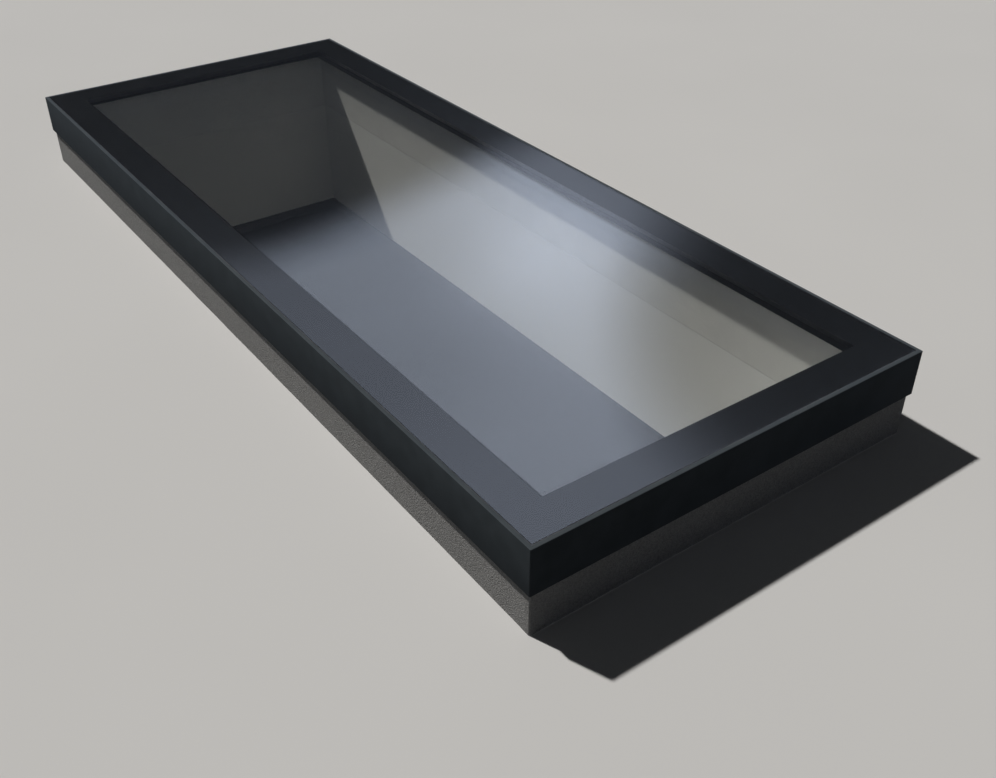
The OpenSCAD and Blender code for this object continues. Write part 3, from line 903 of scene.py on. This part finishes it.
def makeSun():
    lamp = bpy.data.lights.new("sun", "SUN")
    lamp.energy = sunValues["strength"]
    lamp.angle = math.radians(sunValues["softness"])
    lamp.color = sunValues["colour"]
    sun = bpy.data.objects.new("sun", lamp)
    tilt = math.radians(90 - sunValues["height"])
    sun.rotation_euler = (-tilt, 0, math.radians(sunValues["turn"]))
    sun.visible_glossy = False
    scene.collection.objects.link(sun)


mirroredSky = {
    "colour": (0.80, 0.90, 1.13), "strength": 1.12,
    "levels": ((0.0, 0.02), (0.385, 0.03), (0.432, 0.53), (0.51, 0.60), (0.63, 0.86),
               (0.75, 0.95), (1.0, 0.8)),
    "horizonTilt": 0.058, "tiltRange": (0.3, 0.7),
    "ahead": (0.47, 0.88, 0.0), "aheadRange": (0.2, 0.6),
    "elsewhere": (0.35, 0.85), "elsewhereRange": (-0.1, 0.7),
    "glowPlace": (0.555, 0.690, 0.466), "glowStrength": 0.75, "glowWidth": 300.0,
    "shadePlace": (0.700, 0.500, 0.510), "shadeWidth": (0.979, 0.996), "shadeDepth": 0.95}


# What glass and metal mirror: a dark skyline ahead, a pale sky over it, a glow and a dark patch
def addMirroredSky(tree, direction, x, z):
    sky = mirroredSky
    tilt = remap(tree, x, sky["tiltRange"], (-sky["horizonTilt"], sky["horizonTilt"]))
    skyline = addNode(tree, "ValToRGB", {0: maths(tree, "ADD", z, tilt)})
    ramp = skyline.color_ramp
    for place, level in sky["levels"][1:-1]:
        ramp.elements.new(place)
    for element, (place, level) in zip(ramp.elements, sky["levels"]):
        element.position = place
        element.color = (level, level, level, 1)
    ramp.interpolation = "EASE"
    elsewhere = remap(tree, z, sky["elsewhereRange"], sky["elsewhere"])
    ahead = vectorMaths(tree, "DOT_PRODUCT", direction, sky["ahead"], output="Value")
    around = mixColours(tree, remap(tree, ahead, sky["aheadRange"]), elsewhere, skyline.outputs[0])
    tinted = mixColours(tree, 1.0, around, sky["colour"], "MULTIPLY")
    towards = vectorMaths(tree, "DOT_PRODUCT", direction, sky["glowPlace"], output="Value")
    glow = maths(tree, "POWER", greatest(tree, towards, 0.0), sky["glowWidth"])
    brighter = maths(tree, "MULTIPLY_ADD", glow, sky["glowStrength"], sky["strength"])
    aside = vectorMaths(tree, "DOT_PRODUCT", direction, sky["shadePlace"], output="Value")
    unshaded = remap(tree, aside, sky["shadeWidth"], (1.0, 1.0 - sky["shadeDepth"]))
    strength = product(tree, brighter, unshaded)
    return addNode(tree, "Background", {"Color": tinted, "Strength": strength}).outputs[0]


softLight = {"even": 0.010, "left": 0.05, "top": 0.018, "below": 0.9, "front": 0.5,
             "frontRange": (-0.6, 0.2), "colour": (0.93, 0.97, 1.0)}


# The light that falls on matt surfaces: more from the left and above, less from the front
def addSoftLight(tree, x, y, z):
    fromLeft = product(tree, greatest(tree, product(tree, x, -1.0), 0.0), softLight["left"])
    fromTop = product(tree, greatest(tree, z, 0.0), softLight["top"])
    fromBelow = product(tree, maths(tree, "LESS_THAN", z, 0.0), softLight["below"])
    frontDim = remap(tree, y, softLight["frontRange"], (softLight["front"], 1.0))
    fromAbove = maths(tree, "ADD", maths(tree, "ADD", fromLeft, fromTop), softLight["even"])
    level = maths(tree, "ADD", product(tree, fromAbove, frontDim), fromBelow)
    colour = (*softLight["colour"], 1)
    return addNode(tree, "Background", {"Color": colour, "Strength": level}).outputs[0]


backdrop = {"low": (0.51, 0.503, 0.49), "high": (0.95, 0.96, 0.97), "rise": (0.0, 0.35)}


def makeWorld():
    world = bpy.data.worlds.new("studio")
    scene.world = world
    world.use_nodes = True
    tree = world.node_tree
    tree.nodes.clear()
    direction = addNode(tree, "TexCoord").outputs["Generated"]
    x, y, z = addNode(tree, "SeparateXYZ", {0: direction}).outputs
    mirrored = addMirroredSky(tree, direction, x, z)
    matt = addSoftLight(tree, x, y, z)
    tone = mixColours(tree, remap(tree, z, backdrop["rise"]), backdrop["low"], backdrop["high"])
    plain = addNode(tree, "Background", {"Color": tone, "Strength": 1.0}).outputs[0]
    ray = addNode(tree, "LightPath").outputs
    mirrors = greatest(tree, ray["Is Glossy Ray"], ray["Is Transmission Ray"])
    lit = addNode(tree, "MixShader", {0: mirrors, 1: matt, 2: mirrored}).outputs[0]
    shown = addNode(tree, "MixShader", {0: ray["Is Camera Ray"], 1: lit, 2: plain}).outputs[0]
    tree.links.new(shown, tree.nodes.new("ShaderNodeOutputWorld").inputs["Surface"])


cameraValues = {"place": (-1.2939, -2.2646, 1.4258), "aim": (-0.2064, -0.7530, 0.1200),
                "lens": 39.71, "sensor": 36.0, "farEnd": 200.0}


def makeCamera():
    camera = bpy.data.objects.new("camera", bpy.data.cameras.new("camera"))
    camera.data.lens = cameraValues["lens"]
    camera.data.sensor_width = cameraValues["sensor"]
    camera.data.clip_end = cameraValues["farEnd"]
    camera.location = cameraValues["place"]
    gaze = Vector(cameraValues["aim"]) - Vector(cameraValues["place"])
    camera.rotation_euler = gaze.to_track_quat("-Z", "Y").to_euler()
    scene.collection.objects.link(camera)
    scene.camera = camera


makeFloor()
makeLightWell()
makeSun()
makeWorld()
makeCamera()
scene.view_settings.view_transform = "Standard"
print("floor, light and camera made")
